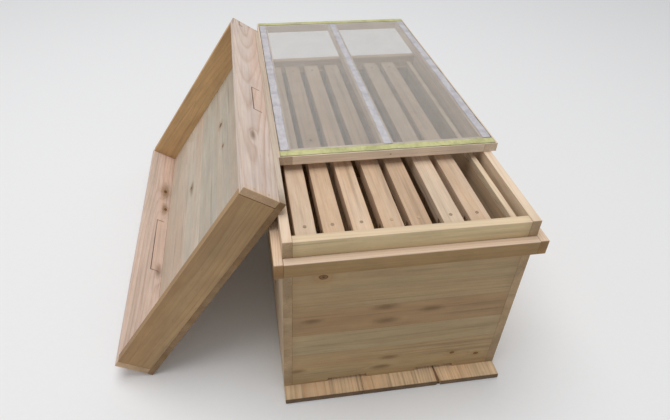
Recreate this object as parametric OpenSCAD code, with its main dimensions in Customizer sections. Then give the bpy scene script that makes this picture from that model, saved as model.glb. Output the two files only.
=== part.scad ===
// Wooden beehive: body box with floor and landing board, frames, division board,
// wire mesh inner cover and a telescoping roof that leans against the body.
// Millimetres, +Z up, front face towards -Y. Origin at the centre of the body's footprint, on the ground.

/* [Body box] */
// Outer width of the body, across the frames
body_width = 330; // [270:1:480]
// Outer length of the body, along the frames
body_length = 512; // [420:1:640]
// Height of the wall tops above the ground
body_height = 305; // [240:1:380]
// Thickness of the two side walls
side_wall_t = 12; // [9:0.5:25]
// Thickness of the front and rear walls
end_wall_t = 22; // [18:0.5:30]
// Depth of the rebate that carries the frame lugs, along the frames
rebate_depth = 10; // [6:0.5:14]
// Thickness of the floor planks
floor_t = 9; // [6:0.5:20]
// How far the floor stands out in front of the body as a landing board
landing_reach = 23; // [10:1:60]
// Distance of the first floor joint from the middle, to the left
floor_joint_left = 48; // [20:1:120]
// Distance of the second floor joint from the middle, to the right
floor_joint_right = 67; // [20:1:120]

/* [Entrance slots] */
// Width of one entrance slot
slot_width = 60; // [30:1:100]
// Height of the entrance slots
slot_height = 7; // [6:0.5:12]
// Distance of the left slot's centre from the middle
slot_left_x = 69; // [45:1:110]
// Distance of the right slot's centre from the middle
slot_right_x = 67; // [45:1:110]

/* [Rim battens] */
// Distance from the wall top down to the batten top
batten_drop = 25; // [10:1:60]
// Height of the battens
batten_height = 23; // [12:1:40]
// Thickness of the battens
batten_t = 11.5; // [6:0.5:25]

/* [Frames] */
// Clearance at each end of a top bar, inside the rebates
lug_clear = 3; // [1:0.5:5]
// Width of a frame's top bar
top_bar_width = 27.5; // [20:0.5:34]
// Thickness of the top bar's lugs
lug_t = 10; // [6:0.5:14]
// Extra thickness of the top bar between the end bars
top_bar_rib = 10; // [4:0.5:14]
// Distance from the wall top down to the top bars
bar_drop = 10.5; // [4:0.5:20]
// Bee space between a frame's end bars and the end walls
bee_space = 10; // [6:0.5:11]
// Space between the frames and the floor
under_space = 53.5; // [5:0.5:100]
// Thickness of the end bars
end_bar_t = 10; // [6:0.5:14]
// Width of the end bars
end_bar_width = 25; // [18:0.5:30]
// Height of the bottom bar
bottom_bar_t = 10; // [6:0.5:14]
// Width of the bottom bar
bottom_bar_width = 19; // [12:0.5:24]

/* [Spacing, as shares of the width left free by the bars] */
// Share of the gap between the left wall and frame 1
gap_wall_1 = 6.25; // [4:0.05:40]
// Share of the gap between frames 1 and 2
gap_1_2 = 8.1; // [4:0.05:40]
// Share of the gap between frames 2 and 3
gap_2_3 = 10.2; // [4:0.05:40]
// Share of the gap between frames 3 and 4
gap_3_4 = 12.1; // [4:0.05:40]
// Share of the gap between frames 4 and 5
gap_4_5 = 8.9; // [4:0.05:40]
// Share of the gap between frames 5 and 6
gap_5_6 = 15.7; // [4:0.05:40]
// Share of the gap between frames 6 and 7
gap_6_7 = 8.6; // [4:0.05:40]
// Share of the gap between frame 7 and the division board
gap_7_board = 26.95; // [4:0.05:40]
// Share of the gap between the division board and the right wall
gap_board_wall = 8.3; // [4:0.05:40]

/* [Division board] */
// Thickness of the division board
divider_t = 8.4; // [5:0.1:14]

/* [Mesh cover] */
// Width that the cover is narrower than the body
cover_less = 2; // [0:0.5:8]
// Full thickness of the cover with mesh and tape
cover_t = 15.5; // [10:0.5:30]
// Width of the outer rails
cover_rail_w = 20; // [12:0.5:40]
// Width of the middle rail
cover_mid_w = 18; // [10:0.5:40]
// How far the cover is pushed back from the closed place
cover_back = 154; // [0:1:200]
// How far the cover lies to the right of the middle
cover_side = 9; // [0:0.5:12]
// Thickness of the wire mesh layer
mesh_t = 0.6; // [0.3:0.1:1.5]
// Thickness of the binding tape
tape_t = 0.4; // [0.2:0.1:1]
// Width of the three long tapes
tape_w = 14; // [8:0.5:30]
// Width of the two end tapes
end_tape_w = 16; // [8:0.5:30]

/* [Roof] */
// Side clearance between the roof and the rim battens
roof_clear = 3; // [1:0.5:8]
// Thickness of the roof's four boards
roof_board_t = 12; // [8:0.5:22]
// Thickness of the roof panel
roof_panel_t = 9; // [6:0.5:18]
// Inner depth of the roof below its panel
roof_depth = 52; // [30:1:120]
// Lean of the roof from the ground
roof_lean = 57.1; // [45:0.1:75]
// Distance of the roof's middle behind the body's middle
roof_back = 76; // [-100:1:140]

/* [Nails] */
// Radius of the nail shanks
nail_r = 1; // [0.6:0.1:2]
// Radius of the frame nails' heads
nail_head_r = 2.3; // [1.5:0.1:4]
// Radius of the heads of the brads in the body, the cover and the roof
brad_head_r = 1.4; // [1.1:0.1:3]
// Length of the frame nails
frame_nail_l = 22; // [12:1:30]
// Length of the brads in the body's corners, the cover and the roof
brad_length = 32; // [20:1:50]

/* [Hidden] */
nail_head_t = 0.8;
nail_sunk = 0.5;
brad_point_cover = 3;
corner_brad_shares = [0.12, 0.36, 0.62, 0.77];
end_batten_shares = [-0.4, 0, 0.4];
side_batten_shares = [-0.4, -0.13, 0.13, 0.4];
roof_corner_shares = [0.3, 0.7];
roof_panel_shares = [0.2, 0.5, 0.8];
mesh_side_inset = 3;
mesh_end_inset = 2;
tape_inset = 4;
rest_gap = 0.3;
half_w = body_width / 2;
half_l = body_length / 2;
inner_x = half_w - side_wall_t;
lug_lip = end_wall_t - rebate_depth;
top_bar_length = body_length - 2 * (lug_lip + lug_clear);
frame_length = body_length - 2 * (end_wall_t + bee_space);
gap_shares = [gap_wall_1, gap_1_2, gap_2_3, gap_3_4, gap_4_5, gap_5_6, gap_6_7, gap_7_board, gap_board_wall];
frame_count = 7;
function sum_to(list, last) = last < 0 ? 0 : list[last] + sum_to(list, last - 1);
free_width = 2 * inner_x - frame_count * top_bar_width - divider_t;
gap_scale = free_width / sum_to(gap_shares, frame_count + 1);
function frame_x(n) = -inner_x + sum_to(gap_shares, n - 1) * gap_scale + (n - 0.5) * top_bar_width;
divider_x = inner_x - gap_board_wall * gap_scale - divider_t / 2;
rebate_floor = body_height - bar_drop - lug_t;
bar_top = body_height - bar_drop;
frame_bottom = floor_t + under_space;
batten_top = body_height - batten_drop;
batten_low = batten_top - batten_height;
cover_w = body_width - cover_less;
cover_l = body_length - cover_less;
rail_h = cover_t - mesh_t - tape_t;
cover_left = cover_side - cover_w / 2;
roof_w = body_width + 2 * (batten_t + roof_clear + roof_board_t);
roof_l = body_length + 2 * (batten_t + roof_clear + roof_board_t);
roof_rise = roof_w * sin(roof_lean);
// Where the roof's foot stands when the roof leans on an upright face at x that runs from low to top.
// A roof that ends below that face's top rests its upper edge on it, and one that ends lower misses it.
function foot_against(x, low, top) = roof_rise < low ? inner_x
  : x - (min(top, roof_rise) * cos(roof_lean) + rest_gap) / sin(roof_lean);
roof_foot = min(foot_against(-half_w, 0, body_height),
  foot_against(cover_left, body_height, body_height + cover_t),
  foot_against(-half_w - batten_t, batten_low, batten_top));
wood_a = [0.86, 0.72, 0.52];
wood_b = [0.82, 0.67, 0.46];
wood_c = [0.88, 0.74, 0.56];
steel = [0.55, 0.55, 0.56];

// A box between two corners
module box(a, b) {
  translate(a)
    cube([b[0] - a[0], b[1] - a[1], b[2] - a[2]]);
}

// A nail along +Z, its point at 0 and its head at the given length
module nail(length, head_r) {
  cylinder(r = nail_r, h = length - nail_head_t, $fn = 16);
  translate([0, 0, length - nail_head_t])
    cylinder(r = head_r, h = nail_head_t, $fn = 24);
}

// A nail whose head looks along a direction, in a face that passes through p; proud is how far it stands out
module nail_at(p, direction, length, head_r, proud) {
  turn = direction == "+z" ? [0, 0, 0]
    : direction == "-z" ? [180, 0, 0]
    : direction == "+x" ? [0, 90, 0]
    : direction == "-x" ? [0, -90, 0]
    : direction == "-y" ? [90, 0, 0] : [-90, 0, 0];
  translate(p)
    rotate(turn)
      translate([0, 0, proud - length])
        nail(length, head_r);
}
module frame_nail(p, direction) {
  nail_at(p, direction, frame_nail_l, nail_head_r, nail_head_t - nail_sunk);
}
// A brad, whose head is flush with the wood
module brad(p, direction, length) {
  nail_at(p, direction, length, brad_head_r, 0);
}

// Floor planks, which reach out in front as the landing board
module floor_plank(x0, x1) {
  box([x0, -half_l - landing_reach, 0], [x1, half_l, floor_t]);
}
module floor_left() {
  color(wood_b)
    floor_plank(-half_w, -floor_joint_left);
}
module floor_middle() {
  color(wood_a)
    floor_plank(-floor_joint_left, floor_joint_right);
}
module floor_right() {
  color(wood_b)
    floor_plank(floor_joint_right, half_w);
}

// End walls with the rebate for the frame lugs, drawn for the front and mirrored for the rear
module end_wall_solid() {
  difference() {
    box([-inner_x, -half_l, floor_t], [inner_x, -half_l + end_wall_t, body_height]);
    box([-inner_x - 1, -half_l + end_wall_t - rebate_depth, rebate_floor],
      [inner_x + 1, -half_l + end_wall_t + 1, body_height + 1]);
  }
}
module slot_cut(x) {
  box([x - slot_width / 2, -half_l - 1, floor_t - 1],
    [x + slot_width / 2, -half_l + end_wall_t + 1, floor_t + slot_height]);
}
module front_wall() {
  color(wood_a)
    difference() {
      end_wall_solid();
      slot_cut(-slot_left_x);
      slot_cut(slot_right_x);
    }
}
module rear_wall() {
  color(wood_a)
    mirror([0, 1, 0])
      end_wall_solid();
}
module left_wall() {
  color(wood_c)
    box([-half_w, -half_l, floor_t], [-inner_x, half_l, body_height]);
}
module right_wall() {
  color(wood_c)
    box([inner_x, -half_l, floor_t], [half_w, half_l, body_height]);
}

// Rim battens: the side battens run past the ends of the front and rear ones
module front_batten() {
  color(wood_c)
    box([-half_w, -half_l - batten_t, batten_low], [half_w, -half_l, batten_top]);
}
module rear_batten() {
  color(wood_c)
    box([-half_w, half_l, batten_low], [half_w, half_l + batten_t, batten_top]);
}
module left_batten() {
  color(wood_b)
    box([-half_w - batten_t, -half_l - batten_t, batten_low], [-half_w, half_l + batten_t, batten_top]);
}
module right_batten() {
  color(wood_b)
    box([half_w, -half_l - batten_t, batten_low], [half_w + batten_t, half_l + batten_t, batten_top]);
}

// Brads through the side walls into the end walls, and from inside through the walls into the battens
module body_nails() {
  batten_mid = (batten_low + batten_top) / 2;
  color(steel)
    for (s = [-1, 1]) {
      for (share = corner_brad_shares, t = [-1, 1])
        brad([t * half_w, s * (half_l - end_wall_t / 2), share * body_height],
          t < 0 ? "-x" : "+x", brad_length);
      for (share = side_batten_shares)
        brad([s * inner_x, share * body_length, batten_mid], s < 0 ? "+x" : "-x",
          side_wall_t + batten_t - brad_point_cover);
      for (share = end_batten_shares)
        brad([share * body_width, s * (half_l - end_wall_t), batten_mid], s < 0 ? "+y" : "-y",
          end_wall_t + batten_t - brad_point_cover);
    }
}

// One frame: top bar with lugs, two end bars, bottom bar and nails
module top_bar(x) {
  color(wood_c) {
    box([x - top_bar_width / 2, -top_bar_length / 2, bar_top - lug_t],
      [x + top_bar_width / 2, top_bar_length / 2, bar_top]);
    box([x - top_bar_width / 2, -frame_length / 2 + end_bar_t, bar_top - lug_t - top_bar_rib],
      [x + top_bar_width / 2, frame_length / 2 - end_bar_t, bar_top - lug_t]);
  }
}
module end_bars(x) {
  color(wood_b)
    for (s = [-1, 1])
      box([x - end_bar_width / 2, s * (frame_length - end_bar_t) / 2 - end_bar_t / 2, frame_bottom],
        [x + end_bar_width / 2, s * (frame_length - end_bar_t) / 2 + end_bar_t / 2, bar_top - lug_t]);
}
module bottom_bar(x) {
  color(wood_a)
    box([x - bottom_bar_width / 2, -frame_length / 2 + end_bar_t, frame_bottom],
      [x + bottom_bar_width / 2, frame_length / 2 - end_bar_t, frame_bottom + bottom_bar_t]);
}
module frame_nails(x) {
  color(steel)
    for (s = [-1, 1]) {
      frame_nail([x, s * (frame_length - end_bar_t) / 2, bar_top], "+z");
      frame_nail([x, s * frame_length / 2, frame_bottom + bottom_bar_t / 2], s < 0 ? "-y" : "+y");
    }
}

module frame1_top_bar() {
  top_bar(frame_x(1));
}
module frame1_end_bars() {
  end_bars(frame_x(1));
}
module frame1_bottom_bar() {
  bottom_bar(frame_x(1));
}
module frame1_nails() {
  frame_nails(frame_x(1));
}
module frame2_top_bar() {
  top_bar(frame_x(2));
}
module frame2_end_bars() {
  end_bars(frame_x(2));
}
module frame2_bottom_bar() {
  bottom_bar(frame_x(2));
}
module frame2_nails() {
  frame_nails(frame_x(2));
}
module frame3_top_bar() {
  top_bar(frame_x(3));
}
module frame3_end_bars() {
  end_bars(frame_x(3));
}
module frame3_bottom_bar() {
  bottom_bar(frame_x(3));
}
module frame3_nails() {
  frame_nails(frame_x(3));
}
module frame4_top_bar() {
  top_bar(frame_x(4));
}
module frame4_end_bars() {
  end_bars(frame_x(4));
}
module frame4_bottom_bar() {
  bottom_bar(frame_x(4));
}
module frame4_nails() {
  frame_nails(frame_x(4));
}
module frame5_top_bar() {
  top_bar(frame_x(5));
}
module frame5_end_bars() {
  end_bars(frame_x(5));
}
module frame5_bottom_bar() {
  bottom_bar(frame_x(5));
}
module frame5_nails() {
  frame_nails(frame_x(5));
}
module frame6_top_bar() {
  top_bar(frame_x(6));
}
module frame6_end_bars() {
  end_bars(frame_x(6));
}
module frame6_bottom_bar() {
  bottom_bar(frame_x(6));
}
module frame6_nails() {
  frame_nails(frame_x(6));
}
module frame7_top_bar() {
  top_bar(frame_x(7));
}
module frame7_end_bars() {
  end_bars(frame_x(7));
}
module frame7_bottom_bar() {
  bottom_bar(frame_x(7));
}
module frame7_nails() {
  frame_nails(frame_x(7));
}

// Division board: a thin board hung from a strip with lugs
module divider_board() {
  color(wood_a)
    box([divider_x - divider_t / 2, -frame_length / 2, frame_bottom],
      [divider_x + divider_t / 2, frame_length / 2, bar_top - lug_t]);
}
module divider_top_strip() {
  color(wood_c)
    box([divider_x - divider_t / 2, -top_bar_length / 2, bar_top - lug_t],
      [divider_x + divider_t / 2, top_bar_length / 2, bar_top]);
}

// Mesh cover, drawn about its own middle and put on the wall tops
module cover_place() {
  translate([cover_side, cover_back, body_height])
    children();
}
module cover_left_rail() {
  color(wood_c)
    cover_place()
      box([-cover_w / 2, -cover_l / 2, 0], [-cover_w / 2 + cover_rail_w, cover_l / 2, rail_h]);
}
module cover_right_rail() {
  color(wood_c)
    cover_place()
      box([cover_w / 2 - cover_rail_w, -cover_l / 2, 0], [cover_w / 2, cover_l / 2, rail_h]);
}
module cover_middle_rail() {
  color(wood_c)
    cover_place()
      box([-cover_mid_w / 2, -cover_l / 2 + cover_rail_w, 0],
        [cover_mid_w / 2, cover_l / 2 - cover_rail_w, rail_h]);
}
module cover_front_rail() {
  color(wood_a)
    cover_place()
      box([-cover_w / 2 + cover_rail_w, -cover_l / 2, 0],
        [cover_w / 2 - cover_rail_w, -cover_l / 2 + cover_rail_w, rail_h]);
}
module cover_rear_rail() {
  color(wood_a)
    cover_place()
      box([-cover_w / 2 + cover_rail_w, cover_l / 2 - cover_rail_w, 0],
        [cover_w / 2 - cover_rail_w, cover_l / 2, rail_h]);
}
module cover_mesh() {
  color([0.6, 0.62, 0.64])
    cover_place()
      box([-cover_w / 2 + mesh_side_inset, -cover_l / 2 + mesh_end_inset, rail_h],
        [cover_w / 2 - mesh_side_inset, cover_l / 2 - mesh_end_inset, rail_h + mesh_t]);
}
module cover_tapes() {
  color([0.85, 0.86, 0.9])
    cover_place()
      for (x = [-cover_w / 2 + tape_inset + tape_w / 2, 0, cover_w / 2 - tape_inset - tape_w / 2])
        box([x - tape_w / 2, -cover_l / 2 + end_tape_w, rail_h + mesh_t],
          [x + tape_w / 2, cover_l / 2 - end_tape_w, rail_h + mesh_t + tape_t]);
}
module cover_end_tapes() {
  color([0.72, 0.74, 0.36])
    cover_place()
      for (s = [-1, 1])
        box([mesh_side_inset - cover_w / 2, s * (cover_l - end_tape_w) / 2 - end_tape_w / 2, rail_h + mesh_t],
          [cover_w / 2 - mesh_side_inset, s * (cover_l - end_tape_w) / 2 + end_tape_w / 2, cover_t]);
}
module cover_nails() {
  color(steel)
    cover_place()
      for (s = [-1, 1]) {
        brad([-cover_w / 2, s * (cover_l - cover_rail_w) / 2, rail_h / 2], "-x", brad_length);
        brad([cover_w / 2, s * (cover_l - cover_rail_w) / 2, rail_h / 2], "+x", brad_length);
        brad([0, s * cover_l / 2, rail_h / 2], s < 0 ? "-y" : "+y", brad_length);
      }
}

// Roof, drawn lying on its panel with its long lower edge on the Y axis, then leaned on the body
module roof_place() {
  translate([roof_foot, roof_back, 0])
    rotate([0, -roof_lean, 0])
      children();
}
module roof_panel() {
  color(wood_a)
    roof_place()
      box([0, -roof_l / 2, 0], [roof_w, roof_l / 2, roof_panel_t]);
}
module roof_upper_board() {
  color(wood_c)
    roof_place()
      box([roof_w - roof_board_t, -roof_l / 2, roof_panel_t],
        [roof_w, roof_l / 2, roof_panel_t + roof_depth]);
}
module roof_lower_board() {
  color(wood_c)
    roof_place()
      box([0, -roof_l / 2, roof_panel_t], [roof_board_t, roof_l / 2, roof_panel_t + roof_depth]);
}
module roof_front_board() {
  color(wood_b)
    roof_place()
      box([roof_board_t, -roof_l / 2, roof_panel_t],
        [roof_w - roof_board_t, -roof_l / 2 + roof_board_t, roof_panel_t + roof_depth]);
}
module roof_rear_board() {
  color(wood_b)
    roof_place()
      box([roof_board_t, roof_l / 2 - roof_board_t, roof_panel_t],
        [roof_w - roof_board_t, roof_l / 2, roof_panel_t + roof_depth]);
}
module roof_nails() {
  color(steel)
    roof_place()
      for (s = [-1, 1]) {
        y = s * (roof_l - roof_board_t) / 2;
        for (share = roof_corner_shares) {
          brad([roof_w, y, roof_panel_t + share * roof_depth], "+x", brad_length);
          brad([0, y, roof_panel_t + share * roof_depth], "-x", brad_length);
        }
        for (share = roof_panel_shares)
          brad([share * roof_w, y, 0], "-z", brad_length);
      }
}

floor_left();
floor_middle();
floor_right();
front_wall();
rear_wall();
left_wall();
right_wall();
front_batten();
rear_batten();
left_batten();
right_batten();
body_nails();
frame1_top_bar();
frame1_end_bars();
frame1_bottom_bar();
frame1_nails();
frame2_top_bar();
frame2_end_bars();
frame2_bottom_bar();
frame2_nails();
frame3_top_bar();
frame3_end_bars();
frame3_bottom_bar();
frame3_nails();
frame4_top_bar();
frame4_end_bars();
frame4_bottom_bar();
frame4_nails();
frame5_top_bar();
frame5_end_bars();
frame5_bottom_bar();
frame5_nails();
frame6_top_bar();
frame6_end_bars();
frame6_bottom_bar();
frame6_nails();
frame7_top_bar();
frame7_end_bars();
frame7_bottom_bar();
frame7_nails();
divider_board();
divider_top_strip();
cover_left_rail();
cover_right_rail();
cover_middle_rail();
cover_front_rail();
cover_rear_rail();
cover_mesh();
cover_tapes();
cover_end_tapes();
cover_nails();
roof_panel();
roof_upper_board();
roof_lower_board();
roof_front_board();
roof_rear_board();
roof_nails();
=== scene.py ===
"""Detailed looks of the wooden beehive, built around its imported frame. Metres, +Z up, front towards -Y."""
import math
import random

import bmesh
import bpy
from mathutils import Matrix, Vector, noise


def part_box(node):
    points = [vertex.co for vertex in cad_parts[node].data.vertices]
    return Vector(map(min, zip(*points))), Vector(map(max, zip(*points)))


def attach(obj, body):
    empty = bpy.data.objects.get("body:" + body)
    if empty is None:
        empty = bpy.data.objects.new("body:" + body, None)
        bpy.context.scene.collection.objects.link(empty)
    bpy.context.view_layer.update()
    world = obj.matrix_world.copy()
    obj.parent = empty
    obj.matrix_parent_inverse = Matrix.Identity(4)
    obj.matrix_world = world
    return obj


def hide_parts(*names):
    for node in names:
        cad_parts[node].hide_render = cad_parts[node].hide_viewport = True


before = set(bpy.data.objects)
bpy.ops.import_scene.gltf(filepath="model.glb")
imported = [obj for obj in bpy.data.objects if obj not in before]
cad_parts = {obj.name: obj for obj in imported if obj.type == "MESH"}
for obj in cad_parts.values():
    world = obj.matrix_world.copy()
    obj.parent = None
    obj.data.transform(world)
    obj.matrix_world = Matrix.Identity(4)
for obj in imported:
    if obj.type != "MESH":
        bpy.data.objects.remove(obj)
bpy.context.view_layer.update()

MM = 0.001
ROOF_LEAN = math.radians(57.1)
ROOF_TURN = Matrix.Rotation(-ROOF_LEAN, 4, "Y")
FLAT = Matrix.Identity(4)


# ---------------------------------------------------------------- node helpers

class Shader:
    """A material's node tree, with short calls for the nodes used here."""

    def __init__(self, name):
        self.material = bpy.data.materials.new(name)
        self.material.use_nodes = True
        self.tree = self.material.node_tree
        self.tree.nodes.clear()

    def put(self, socket, value):
        if isinstance(value, bpy.types.NodeSocket):
            self.tree.links.new(value, socket)
        else:
            socket.default_value = value

    def node(self, kind, **settings):
        made = self.tree.nodes.new(kind)
        for key, value in settings.items():
            setattr(made, key, value)
        return made

    def attribute(self, name):
        return self.node("ShaderNodeAttribute", attribute_name=name).outputs["Vector"]

    def split(self, vector):
        made = self.node("ShaderNodeSeparateXYZ")
        self.put(made.inputs[0], vector)
        return made.outputs[0], made.outputs[1], made.outputs[2]

    def join(self, x, y, z):
        made = self.node("ShaderNodeCombineXYZ")
        for socket, value in zip(made.inputs, (x, y, z)):
            self.put(socket, value)
        return made.outputs[0]

    def math(self, operation, a, b=0.0, c=0.0):
        made = self.node("ShaderNodeMath", operation=operation)
        for socket, value in zip(made.inputs, (a, b, c)):
            self.put(socket, value)
        return made.outputs[0]

    def vector(self, operation, a, b):
        made = self.node("ShaderNodeVectorMath", operation=operation)
        self.put(made.inputs[0], a)
        self.put(made.inputs[1], b)
        return made.outputs[0]

    def noise(self, vector, scale=1.0, detail=2.0, roughness=0.5):
        made = self.node("ShaderNodeTexNoise")
        self.put(made.inputs["Vector"], vector)
        made.inputs["Scale"].default_value = scale
        made.inputs["Detail"].default_value = detail
        made.inputs["Roughness"].default_value = roughness
        return made.outputs["Fac"]

    def grained(self, place, along, across, detail=2.0, roughness=0.5):
        """Noise with one scale along the grain and another across it, in cells per metre."""
        scaled = self.vector("MULTIPLY", place, (along, across, across))
        return self.noise(scaled, detail=detail, roughness=roughness)

    def product(self, *values):
        made = values[0]
        for value in values[1:]:
            made = self.math("MULTIPLY", made, value)
        return made

    def length(self, x, y):
        return self.math("SQRT", self.math("ADD", self.product(x, x), self.product(y, y)))

    def stretch(self, value, low, high, to_low=0.0, to_high=1.0, smooth=True):
        made = self.node("ShaderNodeMapRange")
        made.interpolation_type = "SMOOTHSTEP" if smooth else "LINEAR"
        for socket, number in zip(made.inputs, (value, low, high, to_low, to_high)):
            self.put(socket, number)
        return made.outputs[0]

    def ramp(self, value, stops):
        made = self.node("ShaderNodeValToRGB")
        elements = made.color_ramp.elements
        while len(elements) < len(stops):
            elements.new(0.5)
        for element, (place, level) in zip(elements, stops):
            element.position = place
            element.color = (level, level, level, 1)
        self.put(made.inputs[0], value)
        return made.outputs[0]

    def mix(self, factor, a, b, blend="MIX"):
        made = self.node("ShaderNodeMix", data_type="RGBA", blend_type=blend)
        self.put(made.inputs["Factor"], factor)
        self.put(made.inputs[6], a)
        self.put(made.inputs[7], b)
        return made.outputs[2]

    def finish(self, color, roughness, height, depth, **uniform):
        shader = self.node("ShaderNodeBsdfPrincipled")
        self.put(shader.inputs["Base Color"], color)
        self.put(shader.inputs["Roughness"], roughness)
        for key, value in uniform.items():
            shader.inputs[key.replace("_", " ")].default_value = value
        bump = self.node("ShaderNodeBump")
        bump.inputs["Distance"].default_value = depth
        self.put(bump.inputs["Height"], height)
        self.put(shader.inputs["Normal"], bump.outputs[0])
        output = self.node("ShaderNodeOutputMaterial")
        self.put(output.inputs[0], shader.outputs[0])
        return self.material


def rgb(red, green, blue):
    """A colour given in 0..255 screen values, as linear light."""
    def linear(value):
        value /= 255
        return value / 12.92 if value <= 0.04045 else ((value + 0.055) / 1.055) ** 2.4
    return (linear(red), linear(green), linear(blue), 1)


# ---------------------------------------------------------------- materials

KNOT_KEYS = ("knot_a", "knot_b", "knot_c", "knot_d", "knot_e")
# Darkness of a knot from its centre outwards: a dark heart, lighter wood around it and a dark ring
KNOT_RING = ((0.0, 0.95), (0.3, 0.5), (0.55, 0.25), (0.85, 1.0), (1.0, 0.0))
# Darkness across one year's ring, from the start of its early wood to the end of its late wood
YEAR_RING = ((0.0, 0.55), (0.1, 0.02), (0.4, 0.06), (0.75, 0.42), (0.93, 1.0), (1.0, 0.55))
KNOT_HALO = rgb(160, 120, 72)
KNOT_CORE = rgb(150, 106, 62)
KNOT_DARK = rgb(48, 30, 20)
SMUDGE = rgb(104, 78, 48)
CHECK_DARK = rgb(70, 46, 30)
OUTLINE_DARK = rgb(66, 44, 30)
# Colour of the painted highlight along the upper edge of some boards, standing in for light falling on the
# arris
PAINTED_HIGHLIGHT = rgb(241, 217, 195)
INLAY_HALF = 9 * MM


class Grain:
    """What a board's vertex attributes tell its material, and the noises that several details share."""

    def __init__(self, s):
        local = s.attribute("local")
        self.place = s.vector("ADD", local, s.attribute("seed"))
        self.x, self.y, self.z = s.split(local)
        self.half = s.split(s.attribute("half"))
        self.pith_y, self.pith_z, self.taper = s.split(s.attribute("pith"))
        self.bright, self.warmth, self.checks = s.split(s.attribute("tone"))
        # use holds the rub, the soil and the strength of the painted highlight on the upper edge
        self.rub, self.soil, self.sapwood = s.split(s.attribute("use"))
        self.edge = s.grained(self.place, 160, 160)
        self.patch = s.grained(self.place, 4, 22)
        self.fibre = s.grained(self.place, 22, 620, detail=3.0, roughness=0.65)
        self.blotch = s.grained(self.place, 14, 26, detail=4.0, roughness=0.6)


def pith_distance(s, g):
    """Distance from the pith, which tapers along the board and is pushed about by slow noise."""
    across = s.math("SUBTRACT", g.y, g.pith_y)
    deep = s.math("SUBTRACT", g.z, g.pith_z)
    radius = s.math("ADD", s.length(across, deep), s.product(g.taper, g.x))
    radius = s.math("MULTIPLY_ADD", s.grained(g.place, 1.6, 8, detail=1.0), 0.045, radius)
    return s.math("MULTIPLY_ADD", s.grained(g.place, 7, 45), 0.004, radius)


def knots(s, g, radius):
    """Knots bend the rings around them. A negative size makes a soft smudge, longer along the grain."""
    core = 0.0
    ring = 0.0
    halo = 0.0
    smudge = 0.0
    for key in KNOT_KEYS:
        knot_x, knot_y, signed = s.split(s.attribute(key))
        size = s.math("ABSOLUTE", signed)
        hard = s.math("GREATER_THAN", signed, 0.0)
        soft = s.math("SUBTRACT", 1.0, hard)
        dx = s.product(s.math("SUBTRACT", g.x, knot_x), s.math("MULTIPLY_ADD", hard, 0.38, 0.34))
        dy = s.math("SUBTRACT", g.y, knot_y)
        gap = s.math("DIVIDE", s.length(dx, dy), s.math("MAXIMUM", size, 1e-5))
        gap = s.math("ADD", gap, s.math("MULTIPLY_ADD", g.edge, 0.7, -0.35))
        spread = s.math("EXPONENT", s.product(gap, gap, -0.16))
        radius = s.math("ADD", radius, s.product(spread, s.product(size, 2.0)))
        core = s.math("MAXIMUM", core, s.product(hard, s.stretch(gap, 1.1, 0.8)))
        ring = s.math("MAXIMUM", ring, s.ramp(gap, KNOT_RING))
        halo = s.math("MAXIMUM", halo, s.product(hard, s.stretch(gap, 3.6, 0.9)))
        smudge = s.math("MAXIMUM", smudge, s.product(soft, s.stretch(gap, 2.6, 0.1)))
    return radius, core, s.product(ring, core), halo, smudge


def year_rings(s, radius, ring_step):
    """The dark late wood of rings that differ in width."""
    uneven = s.noise(s.join(s.product(radius, 60), 0.0, 0.0), detail=1.0)
    turn = s.math("MULTIPLY_ADD", uneven, 1.6, s.math("DIVIDE", radius, ring_step))
    return s.ramp(s.math("FRACT", turn), YEAR_RING)


def clear_wood(s, g, ring_mix, pale, late, warm, cool):
    """Rings in bands of warmer and cooler wood, and the board's own warmth."""
    band = s.grained(g.place, 1.3, 16, detail=3.0, roughness=0.6)
    color = s.mix(ring_mix, pale, late)
    color = s.mix(s.product(s.stretch(band, 0.45, 0.68), 0.6), color, warm)
    color = s.mix(s.product(s.stretch(band, 0.5, 0.3), 0.55), color, cool)
    color = s.mix(s.stretch(g.warmth, 0.0, 1.0, 0.0, 0.75, smooth=False), color, warm)
    return s.mix(s.stretch(g.warmth, 0.0, -1.0, 0.0, 0.85, smooth=False), color, cool)


def fibres(s, g, color, streaks, lanes, mottle):
    """Fine fibres, resin streaks, lanes, short flecks and blotches, all as changes of brightness."""
    streak = s.grained(g.place, 3.2, 130, roughness=0.6)
    lane = s.grained(g.place, 2.4, 48)
    fleck = s.grained(g.place, 75, 900, detail=1.0)
    level = s.product(s.stretch(g.fibre, 0.25, 0.75, 0.88, 1.08, smooth=False),
                      s.stretch(streak, 0.52, 0.8, 1.0, 1.0 - streaks),
                      s.stretch(lane, 0.3, 0.7, 1.0 - lanes, 1.0 + lanes, smooth=False),
                      s.stretch(fleck, 0.66, 0.8, 1.0, 0.8),
                      s.stretch(g.blotch, 0.3, 0.75, 1 + 0.7 * mottle, 1 - 1.4 * mottle, smooth=False),
                      g.bright)
    return s.mix(1.0, color, s.join(level, level, level), "MULTIPLY")


def checks(s, g):
    """Thin cracks that run with the fibres, in patches."""
    line = s.math("ABSOLUTE", s.math("SUBTRACT", s.grained(g.place, 2.2, 38, detail=1.0), 0.5))
    where = s.stretch(s.grained(g.place, 9, 14, detail=1.0), 0.56, 0.64)
    return s.product(s.stretch(line, 0.006, 0.002), where, g.checks)


def repair_strip(s, g):
    """An inlaid repair: the mask of its outline, which is open on one long side, and of its face."""
    strip_x, strip_y, reach = s.split(s.attribute("inlay"))
    over_y = s.math("SUBTRACT", g.y, strip_y)
    out_x = s.math("SUBTRACT", s.math("ABSOLUTE", s.math("SUBTRACT", g.x, strip_x)), reach)
    out_y = s.math("SUBTRACT", s.math("ABSOLUTE", over_y), INLAY_HALF)
    beside = s.math("MAXIMUM", out_x, out_y)
    outline = s.product(s.stretch(s.math("ABSOLUTE", beside), 1.2 * MM, 0.5 * MM),
                        s.stretch(over_y, -0.75 * INLAY_HALF, -0.45 * INLAY_HALF),
                        s.stretch(g.patch, 0.3, 0.42, 0.45, 1.0))
    return outline, s.stretch(beside, 0.2 * MM, -0.2 * MM)


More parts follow.
